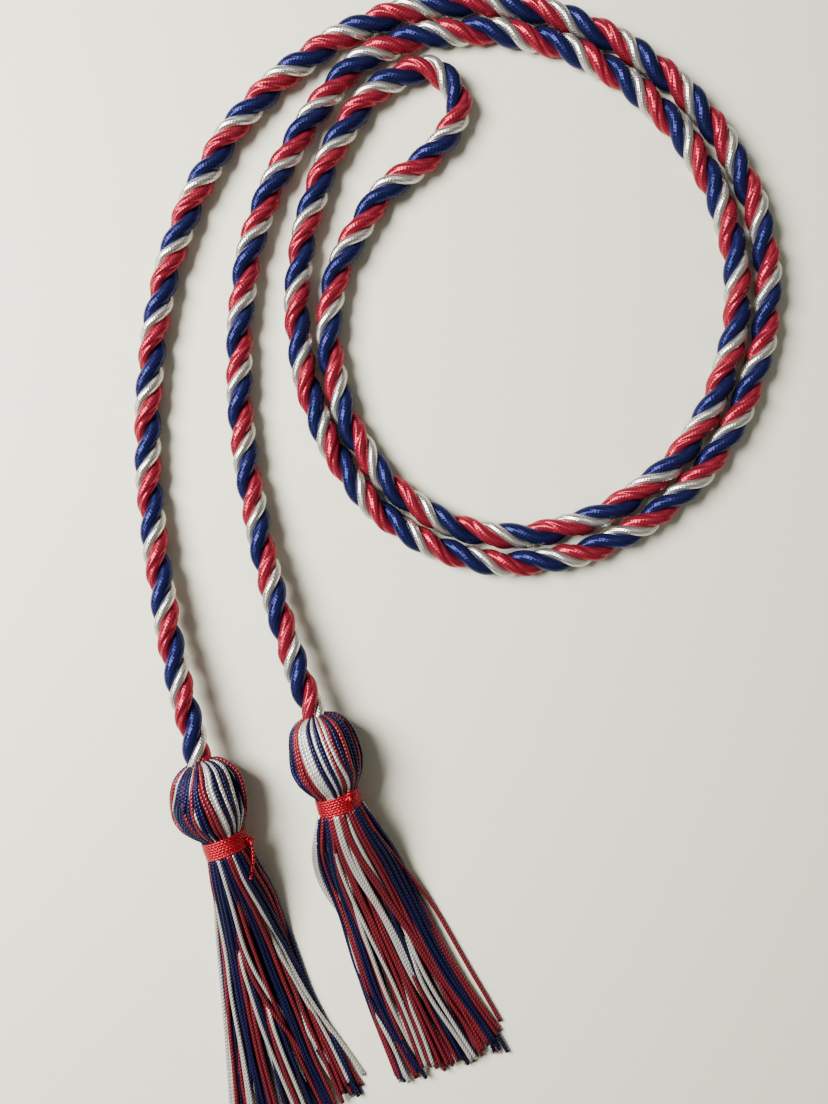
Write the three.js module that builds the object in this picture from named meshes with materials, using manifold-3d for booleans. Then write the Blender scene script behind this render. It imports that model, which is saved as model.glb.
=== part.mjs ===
// An honor cord: one three-ply rope, folded once at its middle and laid flat as a double loop,
// with a tassel on each end. Millimetres, +Z up, everything lies on z = 0.
// The origin is on that surface, under the middle of the box that holds the two tassels.
import * as THREE from "three";
import { mergeVertices } from "three/addons/utils/BufferGeometryUtils.js";
import Module from "manifold-3d";

const wasm = await Module();
wasm.setup();

const CLEARANCE = 0.3; // between pieces that touch on the real cord
const WELD_DISTANCE = 1e-4;

// The rope. Its plies' crests stand a little proud of this mean diameter.
const CORD_DIAMETER = 7.2;
const CORD_SIDES = 12;
const STEPS_PER_SPAN = 2; // tube steps between two points of the route
const LENGTH_STEPS_PER_POINT = 40; // for measuring along the route
const RISE_LENGTH = 85; // the rope climbs from the surface to a tassel's head over this length

// The route of the rope's centre seen from above, from the left tassel to the right one.
const CORD_ROUTE = [
  // left leg, going up
  [-38.7, 47.3], [-41.5, 59.0], [-46.8, 79.4], [-54.3, 133.6], [-48.1, 186.2], [-27.7, 226.8],
  // outer run of the loop, clockwise
  [5.1, 251.7], [38.7, 258.6], [71.7, 250.6], [99.5, 229.9], [116.3, 199.9],
  [118.5, 167.2], [103.9, 131.3], [75.1, 107.8], [41.5, 102.1], [12.1, 115.1],
  [-6.1, 141.4], [-12.5, 175.6], [-5.0, 211.7],
  // the fold at the rope's middle
  [9.6, 234.1], [24.7, 240.0], [32.8, 231.8], [27.8, 219.2], [9.9, 203.3],
  // inner run of the loop, back beside the outer one
  [-3.0, 175.6], [0.8, 144.2], [17.1, 120.8], [41.8, 109.8], [71.7, 115.1],
  [97.5, 135.8], [110.1, 168.0], [107.9, 197.1], [93.6, 223.7], [68.4, 243.6],
  [38.7, 250.7], [9.0, 244.6],
  // right leg, going down
  [-8.1, 227.1], [-24.9, 192.4], [-28.5, 147.6], [-22.0, 106.9], [-13.7, 78.1], [-7.1, 59.9],
];

// A tassel's head: a bulb of threads, flattened a little where it lies.
const HEAD_DIAMETER = 19.2;
const HEAD_RIBS = 12;
const RIB_DEPTH = 0.5;
const HEAD_FLATTENING = 0.25;
const SEAT_DIAMETER = 8.6; // the flat top that the rope goes into

// Sections of a head. along is a share of the head's length, radius of half of HEAD_DIAMETER.
const HEAD_SECTIONS = [
  { along: 0.04, radius: 0.67 },
  { along: 0.12, radius: 0.84 },
  { along: 0.26, radius: 0.95 },
  { along: 0.45, radius: 1 },
  { along: 0.62, radius: 1 },
  { along: 0.78, radius: 0.93 },
  { along: 0.9, radius: 0.8 },
  { along: 1, radius: 0.64 },
];

// The neck and the red thread wound round it, with its knot.
const NECK_DIAMETER = 9.2;
const BAND_DIAMETER = 12.6;
const BAND_LENGTH = 5.6;
const BAND_TURNS = 5;
const TURN_DEPTH = 0.35;
const BAND_SIDES = 20;
const KNOT_DIAMETER = 3.4;
const KNOT_SIDES = 10;
const KNOT_LEVELS = 6;

// The fringe: layers of locks, spread over the surface like a fan.
const FRINGE_HEIGHT = 15.5; // at the neck, above the surface
const FRINGE_LAYERS = [
  { count: 6, level: 0.34, drop: 0 },
  { count: 7, level: 0.66, drop: 0.65 },
]; // how high a layer lies, as a share of the height there, and how far its sides hang down
const LOCK_THICKNESS = 0.36; // half a lock's thickness, as a share of the fringe's height there
const LOCK_SIDES = 8;
const LOCK_OVERLAP = 1.16; // neighbouring locks share this much of their width
const TIP_STAGGER = 0.025; // locks end at slightly different lengths
const SKIRT_SPAN = 0.09; // the share of the fringe where the locks are still one body
const SKIRT_SHARE = 0.9; // the skirt's end stays inside the locks

// Sections of a fringe: crest and sole are heights as shares of FRINGE_HEIGHT.
const FRINGE_SECTIONS = [
  { along: 0, crest: 1, sole: 0.25 },
  { along: 0.1, crest: 0.9, sole: 0.12 },
  { along: 0.22, crest: 0.7, sole: 0 },
  { along: 0.38, crest: 0.5, sole: 0 },
  { along: 0.55, crest: 0.38, sole: 0 },
  { along: 0.72, crest: 0.3, sole: 0 },
  { along: 0.88, crest: 0.24, sole: 0 },
  { along: 1, crest: 0.2, sole: 0 },
];

// The two tassels' own lengths. A fringe's width is the one at its tips, and a bulge is how far
// the head's middle lies off the tassel's line.
const LEFT_HEAD_LENGTH = 19.7;
const LEFT_HEAD_BULGE = -0.9;
const LEFT_FRINGE_LENGTH = 78;
const LEFT_FRINGE_WIDTH = 41.5;
const RIGHT_HEAD_LENGTH = 20.7;
const RIGHT_FRINGE_LENGTH = 80;
const RIGHT_FRINGE_WIDTH = 32.7;

// What differs between the tassels. lean is how far the tassel turns from the rope's own line,
// and knot is where the knot sits round the band, up from its side, both in degrees. edges holds
// the fringe's two sides at each section, across the tassel's line, as shares of spread.
const TASSELS = {
  left: {
    head: LEFT_HEAD_LENGTH,
    fringe: LEFT_FRINGE_LENGTH,
    spread: LEFT_FRINGE_WIDTH,
    bulge: LEFT_HEAD_BULGE,
    lean: 5,
    knot: 5,
    edges: [
      [-0.135, 0.14], [-0.188, 0.166], [-0.248, 0.166], [-0.328, 0.142],
      [-0.42, 0.157], [-0.504, 0.203], [-0.595, 0.282], [-0.658, 0.342],
    ],
  },
  right: {
    head: RIGHT_HEAD_LENGTH,
    fringe: RIGHT_FRINGE_LENGTH,
    spread: RIGHT_FRINGE_WIDTH,
    bulge: 0,
    lean: -4,
    knot: 50,
    edges: [
      [-0.177, 0.19], [-0.275, 0.265], [-0.287, 0.325], [-0.291, 0.415],
      [-0.306, 0.495], [-0.284, 0.6], [-0.248, 0.725], [-0.211, 0.789],
    ],
  },
};

const SURFACE_SIZE = 400; // the part of the surface that a tassel is trimmed to, well beyond it

const CORD_RADIUS = CORD_DIAMETER / 2;
const AXIS_HEIGHT = HEAD_DIAMETER / 2 - HEAD_FLATTENING;
const NECK_LENGTH = BAND_LENGTH + 2 * CLEARANCE;

const cordMaterial = new THREE.MeshStandardMaterial({ color: 0x22306e, roughness: 0.45 });
const tasselMaterial = new THREE.MeshStandardMaterial({ color: 0xa8323c, roughness: 0.6 });
const bandMaterial = new THREE.MeshStandardMaterial({ color: 0xb3202c, roughness: 0.65 });

// The rope's line: hand-chosen points in plan, at the surface except where it climbs to a head.
class LyingRoute extends THREE.Curve {
  constructor(points) {
    super();
    const plan = points.map(([x, y]) => new THREE.Vector3(x, y, 0));
    this.plan = new THREE.CatmullRomCurve3(plan, false, "centripetal");
    this.plan.arcLengthDivisions = LENGTH_STEPS_PER_POINT * points.length;
    this.arcLengthDivisions = this.plan.arcLengthDivisions;
    this.lengths = this.plan.getLengths();
  }

  getPoint(t, target = new THREE.Vector3()) {
    this.plan.getPoint(t, target);
    const total = this.lengths[this.lengths.length - 1];
    const place = t * (this.lengths.length - 1);
    const low = Math.min(Math.floor(place), this.lengths.length - 2);
    const done = THREE.MathUtils.lerp(this.lengths[low], this.lengths[low + 1], place - low);
    const fromEnd = Math.min(done, total - done);
    const climb = 1 - THREE.MathUtils.smoothstep(fromEnd, 0, RISE_LENGTH);
    return target.setZ(THREE.MathUtils.lerp(CORD_RADIUS, AXIS_HEIGHT, climb));
  }

  // The tube's steps follow the route's own points, so they are short where it bends most.
  getSpacedPoints(steps) {
    return this.getPoints(steps);
  }

  // Sections stay upright, so the tube has one flat side along the surface.
  computeFrenetFrames(steps) {
    const up = new THREE.Vector3(0, 0, 1);
    const frames = { tangents: [], normals: [], binormals: [] };
    for (let i = 0; i <= steps; i++) {
      const tangent = this.getTangent(i / steps);
      const normal = new THREE.Vector3().crossVectors(up, tangent).normalize();
      frames.tangents.push(tangent);
      frames.normals.push(normal);
      frames.binormals.push(new THREE.Vector3().crossVectors(tangent, normal));
    }
    return frames;
  }
}

function cordMesh(route) {
  const corner = CORD_RADIUS / Math.cos(Math.PI / CORD_SIDES);
  const section = new THREE.Shape();
  for (let i = 0; i < CORD_SIDES; i++) {
    const angle = ((i + 0.5) / CORD_SIDES) * 2 * Math.PI;
    const point = [corner * Math.cos(angle), corner * Math.sin(angle)];
    if (i === 0) section.moveTo(...point);
    else section.lineTo(...point);
  }
  const steps = STEPS_PER_SPAN * (CORD_ROUTE.length - 1);
  const geometry = new THREE.ExtrudeGeometry(section, { steps, extrudePath: route });
  const mesh = new THREE.Mesh(geometry, cordMaterial);
  mesh.name = "cord";
  return mesh;
}

// A closed skin through rings of points. The rings follow each other along +X, and each one
// goes round from +Y towards +Z.
function loft(rings) {
  const count = rings[0].length;
  const positions = rings.flat();
  const index = [];
  for (let r = 0; r < rings.length - 1; r++) {
    for (let i = 0; i < count; i++) {
      const a = r * count + i;
      const b = r * count + ((i + 1) % count);
      index.push(a, b, b + count, a, b + count, a + count);
    }
  }
  const last = (rings.length - 1) * count;
  for (let i = 1; i < count - 1; i++) {
    index.push(0, i + 1, i);
    index.push(last, last + i, last + i + 1);
  }
  const geometry = new THREE.BufferGeometry();
  geometry.setAttribute("position", new THREE.Float32BufferAttribute(positions.flat(), 3));
  geometry.setIndex(index);
  return geometry;
}

// One ring of points round the tassel's line: a circle, or an ellipse of half sizes ry and rz.
function ring(x, y, z, ry, rz, count) {
  return Array.from({ length: count }, (_, i) => {
    const angle = ((i + 0.5) / count) * 2 * Math.PI;
    return [x, y + ry * Math.cos(angle), z + rz * Math.sin(angle)];
  });
}

function solid(geometry) {
  const bare = geometry.clone();
  bare.deleteAttribute("normal");
  bare.deleteAttribute("uv");
  const merged = mergeVertices(bare, WELD_DISTANCE);
  return new wasm.Manifold(new wasm.Mesh({
    numProp: 3,
    vertProperties: merged.attributes.position.array,
    triVerts: new Uint32Array(merged.index.array),
  }));
}

function geometryOf(body) {
  const mesh = body.getMesh();
  const geometry = new THREE.BufferGeometry();
  geometry.setAttribute("position", new THREE.BufferAttribute(mesh.vertProperties, 3));
  geometry.setIndex(new THREE.BufferAttribute(mesh.triVerts, 1));
  geometry.computeVertexNormals();
  return geometry;
}

// The ribbed bulb with its flat seat for the rope, drawn in to the neck.
function headSolid(tassel) {
  const count = 2 * HEAD_RIBS;
  const ribbed = (along, radius) => Array.from({ length: count }, (_, i) => {
    const angle = (i / count) * 2 * Math.PI;
    const r = i % 2 ? radius - RIB_DEPTH : radius;
    const middle = tassel.bulge * Math.sin(Math.PI * along);
    return [along * tassel.head, middle + r * Math.cos(angle), AXIS_HEIGHT + r * Math.sin(angle)];
  });
  const radius = HEAD_DIAMETER / 2;
  const rings = [ribbed(0, SEAT_DIAMETER / 2 + RIB_DEPTH)];
  for (const row of HEAD_SECTIONS) rings.push(ribbed(row.along, row.radius * radius));
  return solid(loft(rings));
}

// The neck runs from inside the head into the skirt, which opens into the fringe's first locks.
function neckSolid(tassel) {
  const neck = NECK_DIAMETER / 2;
  const fringeStart = tassel.head + NECK_LENGTH;
  const start = sectionAt(0, tassel);
  const end = sectionAt(SKIRT_SPAN, tassel);
  const skirtRing = (x, row, share) =>
    ring(x, row.middle, (row.crest + row.sole) / 2, row.half * share, row.thick * share / 2, BAND_SIDES);
  return solid(loft([
    ring(tassel.head - NECK_LENGTH / 2, 0, AXIS_HEIGHT, neck, neck, BAND_SIDES),
    ring(fringeStart, 0, AXIS_HEIGHT, neck, neck, BAND_SIDES),
    skirtRing(fringeStart + CLEARANCE / 2, start, 1),
    skirtRing(fringeStart + SKIRT_SPAN * tassel.fringe, end, SKIRT_SHARE),
  ]));
}

// Sizes of the fringe at a share of its length, in millimetres.
function sectionAt(share, { edges, spread }) {
  const rows = FRINGE_SECTIONS;
  let i = 0;
  while (i < rows.length - 2 && rows[i + 1].along < share) i++;
  const mix = (a, b) => THREE.MathUtils.mapLinear(share, rows[i].along, rows[i + 1].along, a, b);
  const low = mix(edges[i][0], edges[i + 1][0]) * spread;
  const high = mix(edges[i][1], edges[i + 1][1]) * spread;
  const crest = mix(rows[i].crest, rows[i + 1].crest) * FRINGE_HEIGHT;
  const sole = mix(rows[i].sole, rows[i + 1].sole) * FRINGE_HEIGHT;
  return { middle: (low + high) / 2, half: (high - low) / 2, crest, sole, thick: crest - sole };
}

// One lock. side runs from -1 to 1 across the fringe, tip is the share of the length it reaches.
function lockSolid(layer, side, tip, tassel) {
  const sideDrop = Math.sqrt(1 - layer.drop * side * side);
  return solid(loft(FRINGE_SECTIONS.map((row) => {
    const along = row.along * tip;
    const { middle, half, sole, thick } = sectionAt(along, tassel);
    const halfLock = (half / layer.count) * LOCK_OVERLAP;
    return ring(
      tassel.head + NECK_LENGTH + CLEARANCE + along * tassel.fringe,
      middle + side * (half - halfLock),
      sole + thick * layer.level * sideDrop,
      halfLock,
      thick * LOCK_THICKNESS * sideDrop,
      LOCK_SIDES,
    );
  })));
}

function fringeSolids(tassel) {
  return FRINGE_LAYERS.flatMap((layer, level) => Array.from({ length: layer.count }, (_, i) => {
    const side = (2 * i) / (layer.count - 1) - 1;
    const tip = 1 - TIP_STAGGER * ((i + level) % 3);
    return lockSolid(layer, side, tip, tassel);
  }));
}

// Everything above the surface that the tassel lies on.
function aboveSurface() {
  const box = new THREE.BoxGeometry(SURFACE_SIZE, SURFACE_SIZE, SURFACE_SIZE);
  return solid(box.translate(0, 0, SURFACE_SIZE / 2));
}

function tasselMesh(side) {
  const tassel = TASSELS[side];
  let body = headSolid(tassel).add(neckSolid(tassel));
  for (const lock of fringeSolids(tassel)) body = body.add(lock);
  const mesh = new THREE.Mesh(geometryOf(body.intersect(aboveSurface())), tasselMaterial);
  mesh.name = `tassel_${side}`;
  return mesh;
}

// The wound red thread: a ring round the neck with a rounded outside for each turn, and a knot.
function bandMesh(side) {
  const inner = NECK_DIAMETER / 2 + CLEARANCE;
  const outer = BAND_DIAMETER / 2;
  const start = TASSELS[side].head + CLEARANCE;
  const pitch = BAND_LENGTH / BAND_TURNS;
  const profile = [new THREE.Vector2(inner, start)];
  for (let i = 0; i < BAND_TURNS; i++) {
    profile.push(new THREE.Vector2(outer - TURN_DEPTH, start + i * pitch));
    profile.push(new THREE.Vector2(outer, start + (i + 0.5) * pitch));
  }
  profile.push(new THREE.Vector2(outer - TURN_DEPTH, start + BAND_LENGTH));
  profile.push(new THREE.Vector2(inner, start + BAND_LENGTH));
  profile.push(profile[0].clone());
  const turns = new THREE.LatheGeometry(profile, BAND_SIDES);
  turns.rotateZ(-Math.PI / 2).translate(0, 0, AXIS_HEIGHT);
  const around = THREE.MathUtils.degToRad(TASSELS[side].knot);
  const knot = new THREE.SphereGeometry(KNOT_DIAMETER / 2, KNOT_SIDES, KNOT_LEVELS);
  knot.translate(
    start + BAND_LENGTH / 2,
    outer * Math.cos(around),
    AXIS_HEIGHT + outer * Math.sin(around),
  );
  const mesh = new THREE.Mesh(geometryOf(solid(turns).add(solid(knot))), bandMaterial);
  mesh.name = `neck_band_${side}`;
  return mesh;
}

// A tassel and its band at the rope's end, far enough off it that the two faces stay apart.
function tasselGroup(side, end, heading) {
  const lean = THREE.MathUtils.degToRad(TASSELS[side].lean);
  const gap = CLEARANCE + CORD_RADIUS * Math.sin(Math.abs(lean));
  const group = new THREE.Group();
  group.add(tasselMesh(side), bandMesh(side));
  group.position.set(end.x + heading.x * gap, end.y + heading.y * gap, 0);
  group.rotation.z = Math.atan2(heading.y, heading.x) + lean;
  return group;
}

const route = new LyingRoute(CORD_ROUTE);
const honorCord = new THREE.Group();
honorCord.add(cordMesh(route));
honorCord.add(tasselGroup("left", route.getPoint(0), route.getTangent(0).negate()));
honorCord.add(tasselGroup("right", route.getPoint(1), route.getTangent(1)));

export default honorCord;
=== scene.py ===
# %% [markdown]
# # Honor cord
#
# One three-ply rope, folded once at its middle and laid flat as a double loop, with a tassel on
# each end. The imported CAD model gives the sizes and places. This script dresses it: the plies of
# the rope, the threads of the heads and fringes, and the wound thread at each neck.
#
# Lengths below are in millimetres, in the frame of the part: +X right, +Y from the tassels
# towards the loop, +Z up from the surface. They become metres where a mesh is made.

import math
import random

import bpy
import numpy as np
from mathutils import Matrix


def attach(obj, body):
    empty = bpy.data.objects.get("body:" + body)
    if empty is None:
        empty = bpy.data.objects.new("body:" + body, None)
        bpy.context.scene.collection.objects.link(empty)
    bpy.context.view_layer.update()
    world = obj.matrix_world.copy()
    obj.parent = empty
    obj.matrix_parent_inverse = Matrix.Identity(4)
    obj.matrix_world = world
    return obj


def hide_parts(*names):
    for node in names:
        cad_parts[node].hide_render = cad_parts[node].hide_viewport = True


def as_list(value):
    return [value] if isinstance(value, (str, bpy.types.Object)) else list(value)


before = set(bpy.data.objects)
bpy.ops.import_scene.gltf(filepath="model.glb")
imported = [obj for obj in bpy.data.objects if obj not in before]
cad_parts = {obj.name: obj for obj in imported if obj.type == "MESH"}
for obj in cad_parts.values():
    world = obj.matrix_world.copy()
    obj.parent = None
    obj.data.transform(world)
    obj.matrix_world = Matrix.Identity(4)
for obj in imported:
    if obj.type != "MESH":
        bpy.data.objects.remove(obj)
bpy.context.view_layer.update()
MM = 0.001
print("CAD nodes:", ", ".join(sorted(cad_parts)))

# %% [markdown]
# ## The camera
#
# The photograph looks straight down on the surface, with the loop at the top of the picture. An
# orthographic camera would show the cord's plan, but not how the heads, which are nearer, cover
# a little more of the surface. So this one has perspective, and its lens is worked out from one
# measure: a thing at the rope's height is 0.28 mm wide for each pixel of the photograph.

# %% Camera
PHOTO_HEIGHT_PX = 1104
MM_PER_PIXEL = 0.28
CAMERA_HEIGHT = 270.0
CAMERA_AIM = (20.22, 105.0)
ROPE_RADIUS = 3.6
SENSOR = 36.0

half_view = PHOTO_HEIGHT_PX / 2 * MM_PER_PIXEL
camera_data = bpy.data.cameras.new("camera")
camera_data.sensor_width = SENSOR
camera_data.lens = SENSOR / 2 * (CAMERA_HEIGHT - ROPE_RADIUS) / half_view
camera = bpy.data.objects.new("camera", camera_data)
camera.location = (CAMERA_AIM[0] * MM, CAMERA_AIM[1] * MM, CAMERA_HEIGHT * MM)
bpy.context.scene.collection.objects.link(camera)
bpy.context.scene.camera = camera
print(f"lens {camera_data.lens:.1f} mm")

# %% [markdown]
# ## Colours and nodes
#
# A colour is written as an sRGB hex value, as a colour picker shows it, and made linear once for
# the shader. A node's settings and links could take a line each. `add_node` takes them all in
# one call, so that a material reads from top to bottom.


# %% Colours and nodes
def linear(hex_colour):
    channels = [int(hex_colour[i : i + 2], 16) / 255 for i in (1, 3, 5)]
    return [c / 12.92 if c <= 0.04045 else ((c + 0.055) / 1.055) ** 2.4 for c in channels] + [1.0]


def add_node(tree, kind, settings=(), **inputs):
    """An input is named for its socket, or _0, _1, _2 by the socket's number."""
    node = tree.nodes.new(kind)
    for name, value in dict(settings).items():
        setattr(node, name, value)
    for name, value in inputs.items():
        socket = node.inputs[int(name[1:])] if name[0] == "_" else node.inputs[name.replace("_", " ")]
        if isinstance(value, bpy.types.NodeSocket):
            tree.links.new(value, socket)
        else:
            socket.default_value = value
    return node


# %% [markdown]
# ## Tubes
#
# A ply, a head's thread and a fringe's thread are all long round tubes. Curves with a bevel would
# draw them, but give no hold on the section or on the UV map. So each tube is made as rings of
# points round a line. Many tubes become one mesh, which keeps a tassel's fringe one piece.


# %% Rings round a line
def unit(vectors):
    return vectors / np.linalg.norm(vectors, axis=-1, keepdims=True)


def length_along(points):
    return np.concatenate([[0], np.cumsum(np.linalg.norm(np.diff(points, axis=0), axis=1))])


def rings_of(points, radii, sides, up=(0, 0, 1), lobes=None):
    """radii is one number or one for each point, and up is one vector or one for each point.

    lobes gives the radius as a share, from the angle round the tube.
    """
    points = np.asarray(points, float)
    along = unit(np.gradient(points, axis=0))
    up = np.broadcast_to(np.asarray(up, float), points.shape)
    normal = unit(up - along * np.sum(up * along, axis=1, keepdims=True))
    side = np.cross(along, normal)
    angle = np.linspace(0, 2 * np.pi, sides, endpoint=False)
    radius = np.broadcast_to(np.asarray(radii, float), len(points))[:, None] * np.ones(sides)
    if lobes is not None:
        radius = radius * lobes(angle)[None, :]
    return (
        points[:, None]
        + (radius * np.cos(angle))[..., None] * normal[:, None]
        + (radius * np.sin(angle))[..., None] * side[:, None]
    )


# %% Faces of one tube
# mm that each tube's twist starts later than its neighbour's, so that they don't line up
TWIST_SHIFT = 0.37


def tube_faces(rings, first, shift):
    """The quads, their UVs and the two end caps. first is the number of the tube's first vertex.

    In the UV map, u goes once round the tube and v is the mm along it, plus shift.
    """
    count, sides = rings.shape[:2]
    i, j = np.meshgrid(np.arange(count - 1), np.arange(sides), indexing="ij")
    k = (j + 1) % sides
    quads = np.stack([i * sides + j, i * sides + k, (i + 1) * sides + k, (i + 1) * sides + j], -1)
    length = length_along(rings.mean(axis=1)) + shift
    u0, u1 = j / sides, (j + 1) / sides
    v0, v1 = length[i], length[i + 1]
    uvs = np.stack([u0, v0, u1, v0, u1, v1, u0, v1], -1)
    start_cap = np.arange(first + sides - 1, first - 1, -1)
    end_cap = np.arange(first + (count - 1) * sides, first + count * sides)
    return quads.reshape(-1, 4) + first, uvs.reshape(-1, 2), [start_cap, end_cap]


# %% One mesh from many tubes
def make_tubes(name, tubes, materials, indices=None):
    """indices says which of the materials each tube has."""
    indices = [0] * len(tubes) if indices is None else indices
    quads, uvs, caps, first = [], [], [], 0
    for number, rings in enumerate(tubes):
        tube_quads, tube_uvs, tube_caps = tube_faces(rings, first, TWIST_SHIFT * number)
        quads.append(tube_quads)
        uvs.append(tube_uvs)
        caps += tube_caps
        first += rings.shape[0] * rings.shape[1]
    vertices = np.concatenate([rings.reshape(-1, 3) for rings in tubes]) * MM
    loops = np.concatenate([np.concatenate(quads).ravel(), *caps])
    sizes = np.array([4] * sum(len(q) for q in quads) + [len(cap) for cap in caps])
    slots = np.concatenate([np.repeat(indices, [len(q) for q in quads]), np.repeat(indices, 2)])
    cap_uvs = np.zeros((sum(len(cap) for cap in caps), 2))

    mesh = bpy.data.meshes.new(name)
    mesh.vertices.add(len(vertices))
    mesh.vertices.foreach_set("co", vertices.ravel())
    mesh.loops.add(len(loops))
    mesh.loops.foreach_set("vertex_index", loops.astype(np.int32))
    mesh.polygons.add(len(sizes))
    mesh.polygons.foreach_set("loop_start", (np.cumsum(sizes) - sizes).astype(np.int32))
    mesh.polygons.foreach_set("loop_total", sizes.astype(np.int32))
    mesh.polygons.foreach_set("material_index", slots.astype(np.int32))
    mesh.update(calc_edges=True)
    mesh.uv_layers.new(name="threads").data.foreach_set("uv", np.concatenate(uvs + [cap_uvs]).ravel())
    mesh.shade_smooth()
    mesh.validate()
    for material in materials:
        mesh.materials.append(material)

    piece = bpy.data.objects.new(name, mesh)
    bpy.context.scene.collection.objects.link(piece)
    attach(piece, "root")
    print(f"{name}: {len(tubes)} tubes, {(sizes - 2).sum()} triangles")
    return piece


# %% [markdown]
# ## Rayon yarn
#
# Everything here is rayon, a bright filament yarn, which is dark in its folds and bright on its
# crests. A ply is a bundle of finer yarns that lie nearly along it, about 1 mm apart, and fine
# filaments cross them. So its narrow highlight runs along the crest in jagged streaks. A thread
# is three yarns twisted together, which show as slanting ridges 1 mm apart.
#
# The yarns could be modelled one by one, but at a quarter of a millimetre to a pixel only their
# shading shows. So sine waves over the UV map draw the ridges, as a bump and as painted shade
# that darkens the colour in the grooves and lightens it on the crests, and a little noise makes
# them uneven. The filaments are far too fine to show, so they are drawn as ridges 0.7 mm apart.

# %% Yarn pattern
# the noise: its height beside a ridge's, and how many patches there are to a metre, 1.1 mm each
UNEVENNESS = 0.8
PATCHES_PER_METRE = 900.0


def yarn_height(tree, windings):
    """windings: how many ridges lie round the tube, the mm that one takes to go round it, its height."""
    uv = add_node(tree, "ShaderNodeUVMap", {"uv_map": "threads"})
    parts = add_node(tree, "ShaderNodeSeparateXYZ", _0=uv.outputs[0])
    place = add_node(tree, "ShaderNodeTexCoord")
    noise = add_node(
        tree, "ShaderNodeTexNoise", Vector=place.outputs["Object"], Scale=PATCHES_PER_METRE, Detail=3.0
    )
    height = add_node(
        tree, "ShaderNodeMath", {"operation": "MULTIPLY"}, _0=noise.outputs["Fac"], _1=UNEVENNESS
    )
    for ridges, pitch, tall in windings:
        turn = 2 * math.pi * ridges
        around = add_node(
            tree, "ShaderNodeMath", {"operation": "MULTIPLY"}, _0=parts.outputs[0], _1=turn
        )
        angle = add_node(
            tree, "ShaderNodeMath", {"operation": "MULTIPLY_ADD"},
            _0=parts.outputs[1], _1=turn / pitch, _2=around.outputs[0],
        )
        ridge = add_node(tree, "ShaderNodeMath", {"operation": "SINE"}, _0=angle.outputs[0])
        height = add_node(
            tree, "ShaderNodeMath", {"operation": "MULTIPLY_ADD"},
            _0=ridge.outputs[0], _1=tall, _2=height.outputs[0],
        )
    return height.outputs[0]


# %% [markdown]
# Satin and rayon shine in their own colour, because the light goes through the filaments. A clear
# white gloss over the colour would look like plastic. So part of the shader is metallic, with an
# anisotropic highlight drawn out along the yarn, and the white reflection over it is weak. The
# roughness starts from a satin's 0.35 and is then matched to the photograph.

# %% Rayon
# painted light: how far a crest's colour is lifted above the yarn's own colour
PAINTED_CREST_LIGHT = 1.15
QUARTER_TURN = 0.25


def rayon(name, colour, windings, depth, roughness, painted_groove_shade, shine, lustre, glint):
    """the groove shade is painted shade: how dark the colour is in a groove beside a crest, and depth
    is the ridges' height in mm.

    lustre is the share of the light that the filaments mirror in the yarn's own colour, and shine
    is how far that is drawn out. glint is the level of the white reflection over that.
    """
    material = bpy.data.materials.new(name)
    material.use_nodes = True
    tree = material.node_tree
    tree.nodes.clear()
    height = yarn_height(tree, windings)
    bump = add_node(tree, "ShaderNodeBump", Strength=1.0, Distance=depth * MM, Height=height)
    # painted shade and light: the colour is darkened in the ridges' grooves and lifted on their crests,
    # and the noise also varies its tone at random
    shade = add_node(
        tree, "ShaderNodeMapRange",
        Value=height, From_Min=-1.0, From_Max=1.0 + UNEVENNESS, To_Min=painted_groove_shade, To_Max=PAINTED_CREST_LIGHT,
    )
    colour_with_painted_shade = add_node(
        tree, "ShaderNodeVectorMath", {"operation": "SCALE"},
        _0=linear(colour)[:3], Scale=shade.outputs[0],
    )
    along = add_node(tree, "ShaderNodeTangent", {"direction_type": "UV_MAP", "uv_map": "threads"})
    shader = add_node(
        tree, "ShaderNodeBsdfPrincipled",
        Base_Color=colour_with_painted_shade.outputs[0], Roughness=roughness, Normal=bump.outputs[0], Metallic=lustre,
        Tangent=along.outputs[0], Anisotropic=shine, Anisotropic_Rotation=QUARTER_TURN,
        Specular_IOR_Level=glint,
    )
    add_node(tree, "ShaderNodeOutputMaterial", Surface=shader.outputs[0])
    return material


# %% The rope's and the threads' rayon
PLY_COLOURS = {"blue": "#202350", "red": "#97293A", "white": "#D6D3CC"}
THREAD_COLOURS = {"blue": "#1C1C42", "red": "#7C2832", "white": "#CECBC4"}
BINDING_RED = "#A51A29"
# loosely twisted yarn: a long narrow highlight in each ply's own colour, and painted shade in its
# grooves
PLY = {
    "windings": [(12, 80.0, 0.42), (7, 4.7, 0.42)], "depth": 0.042, "roughness": 0.27,
    "painted_groove_shade": 0.6, "shine": 0.9, "lustre": 0.6, "glint": 0.05,
}
# the white ply mirrors more of the light: its crest is nearly white and its sides are grey, and its
# grooves get deeper painted shade
WHITE_PLY = {**PLY, "lustre": 0.88, "painted_groove_shade": 0.5}
# tightly twisted thread: rows of small bright dots, where each yarn comes round; painted light lifts
# each crest and painted shade darkens the grooves between
THREAD = {
    "windings": [(3, -3.0, 1.0)], "depth": 0.05, "roughness": 0.32,
    "painted_groove_shade": 0.5, "shine": 0.6, "lustre": 0.55, "glint": 0.15,
}

ply_yarn = {
    key: rayon(f"rayon ply, {key}", colour, **(WHITE_PLY if key == "white" else PLY))
    for key, colour in PLY_COLOURS.items()
}
thread_yarn = {
    key: rayon(f"rayon thread, {key}", colour, **THREAD) for key, colour in THREAD_COLOURS.items()
}
binding_thread = rayon("rayon binding thread, red", BINDING_RED, **THREAD)
COLOUR_ORDER = ["red", "blue", "white"]
thread_materials = [thread_yarn[key] for key in COLOUR_ORDER]
for yarn in [*ply_yarn.values(), *thread_yarn.values(), binding_thread]:
    print(yarn.name)

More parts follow.
